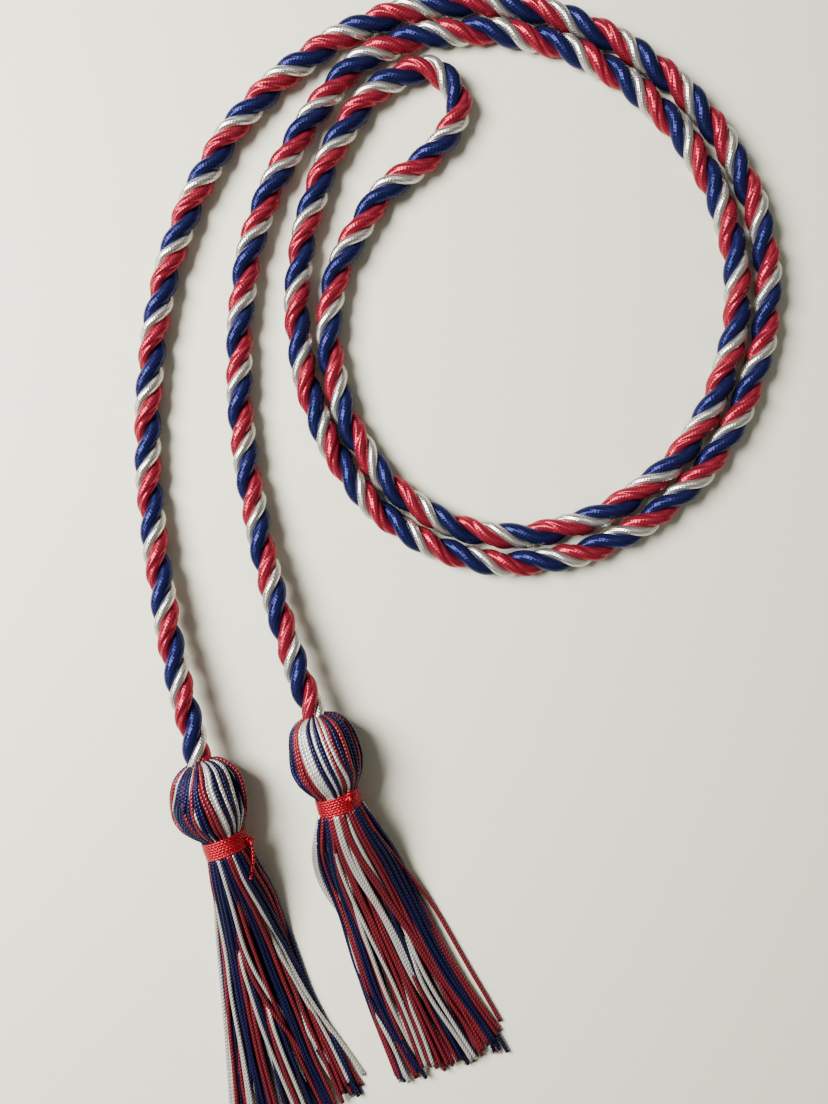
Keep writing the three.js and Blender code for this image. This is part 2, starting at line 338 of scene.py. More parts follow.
# %% [markdown]
# ## The rope's route
#
# The rope is one length, from the left tassel to the right one. It could be drawn with a Bezier
# curve and its handles, but a smooth curve through points needs only the points. They are the
# route of the CAD cord: up the left leg, round the loop, through the fold at the rope's middle,
# round again beside the first run, and down the right leg.

# %% Route
CORD_ROUTE = [
    # left leg, going up
    (-38.7, 47.3), (-41.5, 59.0), (-46.8, 79.4), (-54.3, 133.6), (-48.1, 186.2), (-27.7, 226.8),
    # outer run of the loop, clockwise
    (5.1, 251.7), (38.7, 258.6), (71.7, 250.6), (99.5, 229.9), (116.3, 199.9),
    (118.5, 167.2), (103.9, 131.3), (75.1, 107.8), (41.5, 102.1), (12.1, 115.1),
    (-6.1, 141.4), (-12.5, 175.6), (-5.0, 211.7),
    # the fold at the rope's middle
    (9.6, 234.1), (24.7, 240.0), (32.8, 231.8), (27.8, 219.2), (9.9, 203.3),
    # inner run of the loop, back beside the outer one
    (-3.0, 175.6), (0.8, 144.2), (17.1, 120.8), (41.8, 109.8), (71.7, 115.1),
    (97.5, 135.8), (110.1, 168.0), (107.9, 197.1), (93.6, 223.7), (68.4, 243.6),
    (38.7, 250.7), (9.0, 244.6),
    # right leg, going down
    (-8.1, 227.1), (-24.9, 192.4), (-28.5, 147.6), (-22.0, 106.9), (-13.7, 78.1), (-7.1, 59.9),
]
STEPS_PER_SPAN = 60


def centripetal(points, steps):
    """A centripetal Catmull-Rom curve through the points, as the CAD route is."""
    p = np.array(points, float)
    p = np.vstack([2 * p[0] - p[1], p, 2 * p[-1] - p[-2]])
    t = np.linspace(0, 1, steps, endpoint=False)[:, None]
    spans = []
    for p0, p1, p2, p3 in zip(p, p[1:], p[2:], p[3:]):
        d0, d1, d2 = (np.linalg.norm(b - a) ** 0.5 for a, b in ((p0, p1), (p1, p2), (p2, p3)))
        out = ((p1 - p0) / d0 - (p2 - p0) / (d0 + d1) + (p2 - p1) / d1) * d1
        into = ((p2 - p1) / d1 - (p3 - p1) / (d1 + d2) + (p3 - p2) / d2) * d1
        squared, cubed = 3 * (p2 - p1) - 2 * out - into, 2 * (p1 - p2) + out + into
        spans.append(p1 + out * t + squared * t**2 + cubed * t**3)
    return np.vstack(spans + [p[-2:-1]])


plan = centripetal(CORD_ROUTE, STEPS_PER_SPAN)
plan_length = length_along(plan)
ROPE_LENGTH = plan_length[-1]
print(f"rope length {ROPE_LENGTH:.0f} mm")

# %% [markdown]
# The rope lies on the surface, and near each end it climbs to the middle of the tassel's head,
# which is thicker. A smoothstep over the last stretch gives a climb without a kink.

# %% Heights
ROPE_DIAMETER = 7.5
RISE_LENGTH = 85.0
HEAD_DIAMETER, HEAD_FLATTENING = 19.2, 0.25
AXIS_HEIGHT = HEAD_DIAMETER / 2 - HEAD_FLATTENING

from_end = np.minimum(plan_length, ROPE_LENGTH - plan_length)
rise = np.clip(1 - from_end / RISE_LENGTH, 0, 1)
climb = rise * rise * (3 - 2 * rise)
rope_line = np.column_stack([plan, ROPE_DIAMETER / 2 + (AXIS_HEIGHT - ROPE_DIAMETER / 2) * climb])
print(f"rope's middle {rope_line[:, 2].min():.2f} to {rope_line[:, 2].max():.2f} mm up")

# %% [markdown]
# ## The plies
#
# Three plies are twisted into the rope, with a turn about every 20 mm. A constant pitch would
# drift away from the photograph over 62 turns. So a table holds where the white ply is seen on
# top, and the turns between two such places are shared out evenly and then smoothed. Each ply
# runs a little way into the head at each end.

# %% Turns
# (mm along the rope from the left tassel, turns of the white ply since its first crossing)
WHITE_ON_TOP = [
    (22.0, 0), (123.8, 5), (223.5, 10), (307.4, 14), (407.1, 19), (511.3, 24), (614.0, 29),
    (674.9, 32), (733.7, 35), (798.8, 38), (864.0, 41), (933.5, 44), (994.4, 47),
    (1093.9, 52), (1196.0, 57), (1294.4, 62),
]
PLY_STEP = 0.6
INTO_HEAD = 3.0
SPARE_TURNS = 2
TURN_SMOOTHING = 41


def softened(values, width):
    """A running mean over width values, which keeps the slope at both ends."""
    padded = np.pad(values, width // 2, mode="reflect", reflect_type="odd")
    return np.convolve(padded, np.ones(width) / width, "valid")


ply_places = np.linspace(-INTO_HEAD, ROPE_LENGTH + INTO_HEAD, int(ROPE_LENGTH / PLY_STEP))
known, turns = np.array(WHITE_ON_TOP, float).T
first_lay = (known[1] - known[0]) / (turns[1] - turns[0])
last_lay = (known[-1] - known[-2]) / (turns[-1] - turns[-2])
before, after = known[0] - SPARE_TURNS * first_lay, known[-1] + SPARE_TURNS * last_lay
known = np.concatenate([[before], known, [after]])
turns = np.concatenate([[turns[0] - SPARE_TURNS], turns, [turns[-1] + SPARE_TURNS]])
turn_count = softened(np.interp(ply_places, known, turns), TURN_SMOOTHING)
print(f"lay {first_lay:.1f} mm at the left end, {last_lay:.1f} mm at the right")

# %% [markdown]
# The plies aren't alike: the blue one is the thickest, the white one the thinnest, and the red
# one has a crease along it, between its two yarns. A thin ply beside thick ones sits with its
# outside at the rope's own radius, so each centre is that much nearer to the rope's line.

# %% Plies
PLIES = {
    # ply: radius, degrees round the rope ahead of the white ply, depth of the crease
    "white": {"radius": 1.34, "ahead": 0.0, "crease": 0.0},
    "blue": {"radius": 2.02, "ahead": 102.0, "crease": 0.0},
    "red": {"radius": 1.98, "ahead": -99.0, "crease": 0.2},
}
PLY_SIDES = 36
CREASE_ANGLE = math.radians(38)
CREASE_WIDTH = math.radians(16)
TOP = math.pi / 2

longer_line = np.vstack([
    rope_line[0] - INTO_HEAD * unit(rope_line[1] - rope_line[0]),
    rope_line,
    rope_line[-1] + INTO_HEAD * unit(rope_line[-1] - rope_line[-2]),
])
longer_places = np.concatenate([[-INTO_HEAD], plan_length, [ROPE_LENGTH + INTO_HEAD]])
ply_line = np.column_stack([np.interp(ply_places, longer_places, longer_line[:, k]) for k in range(3)])
heading = unit(np.gradient(ply_line, axis=0))
rope_side = unit(np.cross(heading, (0, 0, 1)))
rope_up = np.cross(rope_side, heading)


def make_ply(key, radius, ahead, crease):
    angle = TOP - 2 * math.pi * turn_count + math.radians(ahead)
    outward = np.cos(angle)[:, None] * rope_side + np.sin(angle)[:, None] * rope_up
    rings = rings_of(
        ply_line + (ROPE_DIAMETER / 2 - radius) * outward, radius, PLY_SIDES, outward,
        lambda a: 1 - crease * np.exp(-(((a - CREASE_ANGLE) / CREASE_WIDTH) ** 2)),
    )
    strand = make_tubes(f"strand_{key}", [rings], [ply_yarn[key]])
    return strand


strands = [make_ply(key, **ply) for key, ply in PLIES.items()]

# %% The CAD cord hidden
for strand in strands:
    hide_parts("cord")
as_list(strands[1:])

# %% [markdown]
# ## The tassels
#
# A tassel is made in its own frame, with X from its seat to its tips and Y across, and is then
# put at the rope's end. That way both tassels share one set of steps, and only their sizes differ.
#
# Hair particles would give threads quickly, but not the ones that the photograph shows. So its
# threads are listed one by one with their colours. The threads below them, which it doesn't
# show, are drawn at random.

# %% Tassel sizes
CLEARANCE = 0.3
BAND_LENGTH, BAND_DIAMETER = 5.6, 12.6
NECK_LENGTH = BAND_LENGTH + 2 * CLEARANCE
# knot is the degrees that the knot lies round the band, up from its side, and knot_at is its
# share of the way along the band. low and high are the fringe's two sides at FRINGE_ALONG.
TASSELS = {
    "left": {
        "head": 19.7, "fringe": 78.0, "bulge": -0.9, "lean": 5, "knot": 5, "knot_at": 0.75, "tail": 9.5,
        "low": [-5.6, -7.8, -10.3, -13.6, -17.4, -20.9, -24.7, -27.3],
        "high": [5.8, 6.9, 6.9, 5.9, 6.5, 8.4, 11.7, 14.2],
    },
    "right": {
        "head": 20.7, "fringe": 80.0, "bulge": 0.0, "lean": -4, "knot": 50, "knot_at": 0.15, "tail": 0.6,
        "low": [-5.8, -9.0, -9.4, -9.5, -10.0, -9.3, -8.1, -6.9],
        "high": [6.2, 8.8, 10.6, 13.7, 16.2, 19.6, 23.7, 25.8],
    },
}


def tassel_place(side):
    """A function that puts points of a tassel's own frame in the frame of the part."""
    end, before = (rope_line[0], rope_line[1]) if side == "left" else (rope_line[-1], rope_line[-2])
    out = unit((end - before)[:2])
    lean = math.radians(TASSELS[side]["lean"])
    origin = end[:2] + out * (CLEARANCE + ROPE_RADIUS * math.sin(abs(lean)))
    angle = math.atan2(out[1], out[0]) + lean
    x_axis = np.array([math.cos(angle), math.sin(angle)])
    y_axis = np.array([-x_axis[1], x_axis[0]])

    def place(points):
        points = np.asarray(points, float)
        flat = origin + points[..., :1] * x_axis + points[..., 1:2] * y_axis
        return np.concatenate([flat, points[..., 2:]], axis=-1)

    return place


for side, spec in TASSELS.items():
    seat = tassel_place(side)([0, 0, AXIS_HEIGHT])
    length = spec["head"] + NECK_LENGTH + spec["fringe"]
    print(f"{side} tassel: seat at ({seat[0]:.1f}, {seat[1]:.1f}), {length:.0f} mm long")

# %% [markdown]
# ## The heads
#
# A head is a bulb: threads are laid over the rope's end, drawn down over a core and bound at the
# neck. It could be a sphere with a striped texture, but its outline and its dark gaps come from
# real threads. So a dark core fills it, and one layer of threads runs over it from the seat to
# the neck. The bulb's profile widens fast from the rope and narrows slowly to the neck.

# %% Head threads seen in the photograph
HEAD_LEVELS = [0.05, 0.3, 0.6, 0.95]
HEAD_THREADS = {
    # colour, mm across the tassel's line at each of the head's levels
    "left": [
        ("red", -6.3, -10.0, -11.2, -5.6), ("red", -5.3, -8.9, -10.9, -5.5),
        ("white", -4.2, -7.2, -10.0, -5.3), ("blue", -3.4, -6.4, -9.6, -5.0),
        ("blue", -2.6, -5.5, -8.6, -4.5), ("blue", -1.8, -4.6, -7.6, -4.0),
        ("blue", -1.0, -3.7, -6.6, -3.4), ("red", -1.9, -5.0, -5.9, -3.4),
        ("blue", -0.9, -3.0, -4.8, -2.8), ("red", -0.1, -2.1, -3.5, -2.3),
        ("white", -0.6, -2.6, -2.9, -1.3), ("blue", 0.3, -1.3, -2.0, -1.6),
        ("blue", 0.6, -0.7, -0.9, -0.5), ("red", 0.6, 0.1, 0.7, 0.7), ("red", 1.5, 1.1, 1.8, 1.8),
        ("white", 2.6, 2.1, 2.6, 2.7), ("white", 3.0, 3.1, 3.5, 3.2), ("blue", 3.6, 4.1, 4.5, 4.0),
        ("white", 4.3, 5.3, 5.6, 4.6), ("blue", 5.1, 6.3, 6.4, 5.0), ("white", 5.6, 7.2, 7.1, 5.3),
        ("blue", 6.1, 7.9, 7.8, 5.5), ("white", 6.6, 8.5, 8.2, 5.8), ("blue", 7.0, 9.0, 8.7, 6.0),
        ("red", 7.6, 9.9, 9.3, 6.2),
    ],
    "right": [
        ("blue", -6.2, -8.6, -9.9, -5.8), ("blue", -5.6, -7.8, -9.1, -5.4),
        ("blue", -5.2, -7.1, -8.1, -5.0), ("red", -4.9, -6.5, -7.1, -4.5),
        ("red", -4.2, -5.6, -5.9, -3.8), ("red", -3.7, -5.0, -4.7, -2.7),
        ("white", -3.4, -4.4, -3.8, -1.7), ("white", -2.8, -3.5, -2.9, -1.0),
        ("white", -2.2, -2.6, -2.0, -0.4), ("blue", -1.5, -1.5, -0.7, 0.4),
        ("white", -0.5, -0.5, 0.4, 1.4), ("blue", 0.3, 0.6, 1.4, 2.0), ("white", 1.0, 1.7, 2.3, 2.4),
        ("red", 1.5, 2.3, 3.1, 3.2), ("white", 2.1, 2.9, 3.9, 4.2), ("red", 3.0, 3.8, 4.6, 4.5),
        ("blue", 3.6, 4.9, 5.4, 4.8), ("red", 4.4, 6.2, 6.4, 5.0), ("blue", 5.0, 7.1, 7.3, 5.3),
        ("blue", 5.6, 7.8, 8.0, 5.6), ("red", 6.4, 8.5, 8.8, 5.9), ("blue", 7.0, 9.2, 9.5, 6.2),
    ],
}

# %% Heads
HEAD_ALONG = [-0.03, -0.01, 0.01, 0.04, 0.12, 0.26, 0.45, 0.62, 0.78, 0.9, 1]
HEAD_RADIUS = [0.34, 0.5, 0.61, 0.7, 0.85, 0.95, 1, 1, 0.93, 0.8, 0.64]
HEAD_ENDS = (-0.03, 1.03)
HEAD_STEPS = 52
HEAD_THREAD_RADIUS = 0.7
HEAD_THREAD_SIDES = 8
# threads crowd together where the head is narrow: the least share of their thickness, the
# head's radius up to which it falls short, and the mm over which it comes back
THINNEST = 0.72
CROWDED_RADIUS, CROWDING_LENGTH = 3.4, 4.5
HEAD_CORE_DEPTH = 1.5
CORE_LEAST = 3.2
CORE_SIDES = 24
# the most mm that a seen thread stands out past the head's profile, and the share of it at
# each level, so that the ends stay in
MOST_BULGING = 2
BULGING = np.array([0.3, 1, 1, 1])
PROFILE_SMOOTHING, THREAD_SMOOTHING = 3, 7
UNDER_THREADS = 24
UNDERSIDE_COLOURS = ["red", "blue", "blue"]
HEAD_SLANT = math.radians(12)


def make_head(side):
    spec = TASSELS[side]
    place = tassel_place(side)
    draw = random.Random(f"head {side}")
    share = np.linspace(*HEAD_ENDS, HEAD_STEPS)
    x = share * spec["head"]
    middle = spec["bulge"] * np.sin(math.pi * np.clip(share, 0, 1))
    profile = softened(np.interp(share, HEAD_ALONG, HEAD_RADIUS) * HEAD_DIAMETER / 2, PROFILE_SMOOTHING)
    crowding = np.clip((profile - CROWDED_RADIUS) / CROWDING_LENGTH, THINNEST, 1)
    tubes, indices = [], []

    def thread(angle, colour, proud):
        """angle goes round the head from its side over the top, proud is mm out from the profile."""
        thick = HEAD_THREAD_RADIUS * crowding * draw.uniform(0.92, 1.08)
        reach = profile - thick + proud
        outward = np.column_stack([0 * x, np.cos(angle), np.sin(angle)])
        up = np.maximum(AXIS_HEIGHT + reach * outward[:, 2], thick)
        line = np.column_stack([x, middle + reach * outward[:, 1], up])
        tubes.append(place(rings_of(line, thick, HEAD_THREAD_SIDES, outward)))
        indices.append(COLOUR_ORDER.index(colour))

    for colour, *places in HEAD_THREADS[side]:
        levels = np.interp(HEAD_LEVELS, share, profile) - HEAD_THREAD_RADIUS
        offsets = np.array(places) - np.interp(HEAD_LEVELS, share, middle)
        angles = np.arccos(np.clip(offsets / levels, -1, 1))
        angle = softened(np.interp(share, HEAD_LEVELS, angles), THREAD_SMOOTHING)
        bulging = np.clip(np.abs(offsets) - levels, 0, MOST_BULGING) * BULGING
        proud = softened(np.interp(share, HEAD_LEVELS, bulging), THREAD_SMOOTHING)
        thread(angle, colour, proud + draw.uniform(-0.35, 0.15))
    for k in range(UNDER_THREADS):
        start = math.pi * (1 + (k + draw.uniform(0.1, 0.9)) / UNDER_THREADS)
        angle = start + HEAD_SLANT * (share - 0.5)
        thread(angle, draw.choice(UNDERSIDE_COLOURS), draw.uniform(-0.15, 0.1))
    core_line = np.column_stack([x, middle, 0 * x + AXIS_HEIGHT])
    core_radius = np.maximum(profile - HEAD_CORE_DEPTH, CORE_LEAST)
    tubes.append(place(rings_of(core_line, core_radius, CORE_SIDES)))
    indices.append(COLOUR_ORDER.index("blue"))
    head = make_tubes(f"head_threads_{side}", tubes, thread_materials, indices)
    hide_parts(f"tassel_{side}")


for side in TASSELS:
    make_head(side)

# %% [markdown]
# ## The neck bands
#
# Red thread is wound round the neck seven times and knotted. Rings side by side would look the
# same from above, but their ends would close. A real winding climbs, so it is one helix, over a
# lining that hides the gaps between the turns. The knot is a trefoil, the plainest line that
# looks tied, and its tail hangs from it.

# %% Neck bands
BAND_TURNS = 7
BAND_STEPS = 40
BAND_THREAD = 0.46
BAND_SIDES = 8
LINING_DEPTH = 1.5 * BAND_THREAD
LINING_SIDES = 32
SWELLS_PER_TURN = 6
SWELL_SMOOTHING = 9


def make_winding(side, start, length):
    """The wound thread and the lining under it. Each turn swells a little, as it was drawn tight."""
    draw = random.Random(f"band {side}")
    turn = np.linspace(0, BAND_TURNS * 2 * math.pi, BAND_TURNS * BAND_STEPS)
    swells = [draw.uniform(-0.14, 0.1) for _ in range(SWELLS_PER_TURN * BAND_TURNS)]
    swell = softened(np.interp(turn, np.linspace(0, turn[-1], len(swells)), swells), SWELL_SMOOTHING)
    reach = BAND_DIAMETER / 2 - BAND_THREAD + swell
    x = start + length * turn / turn[-1]
    outward = np.column_stack([0 * turn, np.cos(turn), np.sin(turn)])
    coil = np.column_stack([x, reach * outward[:, 1], AXIS_HEIGHT + reach * outward[:, 2]])
    lining = np.array([[start, 0, AXIS_HEIGHT], [start + length, 0, AXIS_HEIGHT]])
    return [
        rings_of(coil, BAND_THREAD, BAND_SIDES, outward),
        rings_of(lining, BAND_DIAMETER / 2 - LINING_DEPTH, LINING_SIDES),
    ]


# %% Knots
KNOT_SIZE = 1.2
KNOT_THREAD = 0.5
KNOT_SIDES = 8
KNOT_STEPS, TAIL_STEPS = 60, 30
KNOT_TILT = 0.3
KNOT_PROUD = 0.5
# mm that the tail arches out, falls back to the fringe and drifts round the band
TAIL_ARCH, TAIL_FALL, TAIL_DRIFT = 0.7, 2.6, 2.4


def make_knot(side, start, length):
    spec = TASSELS[side]
    angle = math.radians(spec["knot"])
    out = np.array([0, math.cos(angle), math.sin(angle)])
    around = np.array([0, -math.sin(angle), math.cos(angle)])
    ahead = np.array([1.0, 0, 0])
    reach = BAND_DIAMETER / 2 + KNOT_PROUD
    middle = np.array([start + length * spec["knot_at"], 0, AXIS_HEIGHT]) + out * reach
    t = np.linspace(0, 2 * math.pi, KNOT_STEPS)
    trefoil = (
        np.outer(np.sin(t) + 2 * np.sin(2 * t), ahead)
        + np.outer(np.cos(t) - 2 * np.cos(2 * t), around)
        + np.outer(-np.sin(3 * t), out)
    )
    s = np.linspace(0, 1, TAIL_STEPS)[:, None]
    sway = out * (TAIL_ARCH * np.sin(math.pi * s) - TAIL_FALL * s) + around * TAIL_DRIFT * s**1.5
    return [
        rings_of(middle + trefoil * KNOT_SIZE / 3, KNOT_THREAD, KNOT_SIDES, out + ahead * KNOT_TILT),
        rings_of(middle + s * spec["tail"] * ahead + sway, KNOT_THREAD, KNOT_SIDES, out),
    ]


def make_band(side):
    start = TASSELS[side]["head"] + CLEARANCE + BAND_THREAD
    length = BAND_LENGTH - 2 * BAND_THREAD
    tubes = make_winding(side, start, length) + make_knot(side, start, length)
    place = tassel_place(side)
    band = make_tubes(f"neck_thread_{side}", [place(rings) for rings in tubes], [binding_thread])
    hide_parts(f"neck_band_{side}")


for side in TASSELS:
    make_band(side)

# %% [markdown]
# ## The fringes
#
# A fringe is some eighty threads that hang from the band and lie flat towards their tips. The
# ones on top give it its look: they part, cross and stray, and no random draw would put them
# where the photograph has them. So each is a list of points that it passes: the share of the
# fringe's length and the mm across the tassel's line. A third number is how many mm the thread
# lies below the top ones there, so that another crosses over it.

# %% Fringe threads of the left tassel
SEEN_THREADS = {}
SEEN_THREADS["left"] = [
    ("white", [
        (0, -4.6, 2.5), (0.15, -8.2, 1), (0.25, -11.0), (0.4, -14.5), (0.6, -18.2), (0.8, -22.3),
        (1, -26.4),
    ]),
    ("red", [
        (0, -5.0), (0.1, -6.8), (0.25, -9.7, 1), (0.4, -12.4), (0.6, -16.9), (0.8, -20.6), (1, -24.4),
    ]),
    ("white", [(0, -4.2, 3), (0.5, -15.8, 2), (0.7, -19.1), (0.8, -21.4), (1, -25.4)]),
    ("blue", [(0, -4.2), (0.1, -6.0), (0.2, -7.8), (0.4, -10.4, 1), (0.7, -17.8, 1), (1, -23.2, 1)]),
    ("white", [
        (0, -3.6, 3), (0.2, -8.5), (0.35, -10.6), (0.5, -13.4), (0.7, -15.8), (0.87, -18.4), (1, -20.6),
    ]),
    ("white", [(0, -3.2, 4), (0.45, -12.4, 2), (0.6, -14.5), (0.75, -16.2), (0.9, -18.2), (1, -19.5)]),
    ("blue", [
        (0, -3.2), (0.1, -5.0), (0.25, -7.4), (0.4, -9.7), (0.55, -12.0), (0.75, -14.0), (1, -17.4),
    ]),
    ("blue", [
        (0, -2.3), (0.1, -4.0), (0.25, -6.4), (0.4, -8.8), (0.55, -10.9), (0.7, -13.2), (1, -15.8),
    ]),
    ("blue", [
        (0, -1.4, 1), (0.1, -3.0), (0.25, -5.2, 0.6), (0.5, -9.6, 1), (0.75, -12.2, 1), (1, -14.6),
    ]),
    ("red", [(0, -1.6, 3), (0.3, -6.8, 1), (0.45, -8.5), (0.6, -10.4), (0.75, -12.0), (1, -13.6)]),
    ("red", [(0, -1.2, 4), (0.45, -7.6, 2), (0.6, -9.2), (0.75, -10.8), (1, -12.2)]),
    ("white", [
        (0, -1.0, 3), (0.3, -6.2, 2), (0.4, -7.3), (0.5, -7.6), (0.6, -8.1), (0.7, -8.1), (0.85, -7.5),
        (1, -6.8),
    ]),
    ("red", [
        (0, -0.8, 3), (0.3, -5.6, 1), (0.42, -6.0), (0.52, -5.2), (0.6, -3.9), (0.7, -1.6),
        (0.78, -0.2, 1), (1, 1.6, 2),
    ]),
    ("blue", [(0, -0.9, 2), (0.4, -7.0, 2), (0.55, -6.5), (0.7, -7.3, 1), (0.85, -8.9), (1, -9.4)]),
    ("white", [
        (0, -1.8), (0.1, -2.3), (0.2, -3.4), (0.3, -4.5), (0.4, -4.9), (0.5, -3.8), (0.58, -2.5),
        (0.66, -1.2, 2.5), (1, 1.5, 3),
    ]),
    ("red", [(0, -0.6, 3), (0.5, -4.8, 2), (0.7, -6.2), (0.85, -6.3), (1, -5.6)]),
    ("white", [(0, -0.4, 3), (0.5, -4.0, 3), (0.62, -4.9), (0.75, -5.0), (0.9, -4.4), (1, -4.0)]),
    ("blue", [
        (0, -0.9), (0.1, -0.9), (0.2, -1.5), (0.35, -2.5, 1), (0.6, -3.6, 1), (0.75, -3.0), (1, -2.2),
    ]),
    ("red", [
        (0, -0.2, 1), (0.17, -1.2), (0.3, -2.2), (0.42, -2.6), (0.55, -2.6), (0.7, -2.0, 1),
        (1, 0.2, 1),
    ]),
    ("blue", [(0, 0.1), (0.15, 0.1), (0.3, -0.2), (0.45, -0.6), (0.6, 0.0), (0.8, 0.4), (1, 1.8)]),
    ("blue", [(0, 0.4, 1), (0.2, 0.9), (0.35, 0.5), (0.5, 0.4), (0.65, 0.9), (0.8, 1.2), (1, 3.2)]),
    ("red", [
        (0, 0.9), (0.1, 1.0), (0.2, 1.6), (0.35, 1.7), (0.5, 1.8), (0.65, 2.4), (0.8, 2.6), (1, 4.2),
    ]),
    ("red", [
        (0, 1.5), (0.15, 2.0, 0.6), (0.4, 2.4, 1), (0.55, 3.6), (0.7, 4.2), (0.85, 5.4), (1, 6.2),
    ]),
    ("white", [
        (0, 2.1), (0.1, 2.3), (0.2, 2.9), (0.3, 3.5), (0.36, 3.9, 1.5), (0.7, 6.0, 3), (1, 8, 3),
    ]),
    ("blue", [
        (0, 2.9), (0.1, 3.4), (0.2, 4.0), (0.3, 4.2), (0.4, 4.8), (0.5, 6.0), (0.56, 6.6, 1),
        (1, 11.5, 2),
    ]),
    ("blue", [
        (0, 3.6), (0.1, 4.4), (0.2, 5.0), (0.3, 5.2), (0.42, 5.4), (0.7, 8.0, 1), (0.85, 9.8),
        (1, 10.8),
    ]),
    ("white", [
        (0, 3.0, 2), (0.3, 2.2, 2), (0.38, 2.8), (0.5, 4.0), (0.6, 5.2), (0.7, 6.9), (0.8, 8.2),
        (0.94, 9.6),
    ]),
    ("white", [
        (0, 3.3, 2), (0.4, 4.0, 1), (0.52, 5.0), (0.62, 6.4), (0.72, 8.4), (0.82, 11.0), (0.94, 13.8),
    ]),
    ("red", [
        (0, 4.3), (0.06, 5.2), (0.15, 5.8), (0.25, 5.9), (0.35, 5.3, 1), (0.7, 6.0), (0.8, 7.4),
        (0.95, 8.6),
    ]),
    ("red", [
        (0, 4.9, 1), (0.1, 6.4), (0.2, 6.9, 0.6), (0.3, 6.4), (0.4, 5.8, 2), (0.7, 5.0, 1), (0.85, 6.8),
        (0.97, 7.2),
    ]),
    ("blue", [
        (0, 5.1, 1), (0.1, 6.9, 1.2), (0.2, 7.2, 1), (0.32, 6.6, 1), (0.6, 7.0, 2), (0.8, 9.6),
        (0.94, 10.6),
    ]),
    ("white", [(0, 3.6, 3), (0.6, 3.6, 2), (0.7, 2.8), (0.8, 5.0), (0.88, 7.0, 1), (1, 8.6, 2)]),
    ("blue", [(0, 1.9, 2), (0.5, 2.4, 2), (0.8, 0.2), (0.9, 1.4), (1, 2.4)]),
]

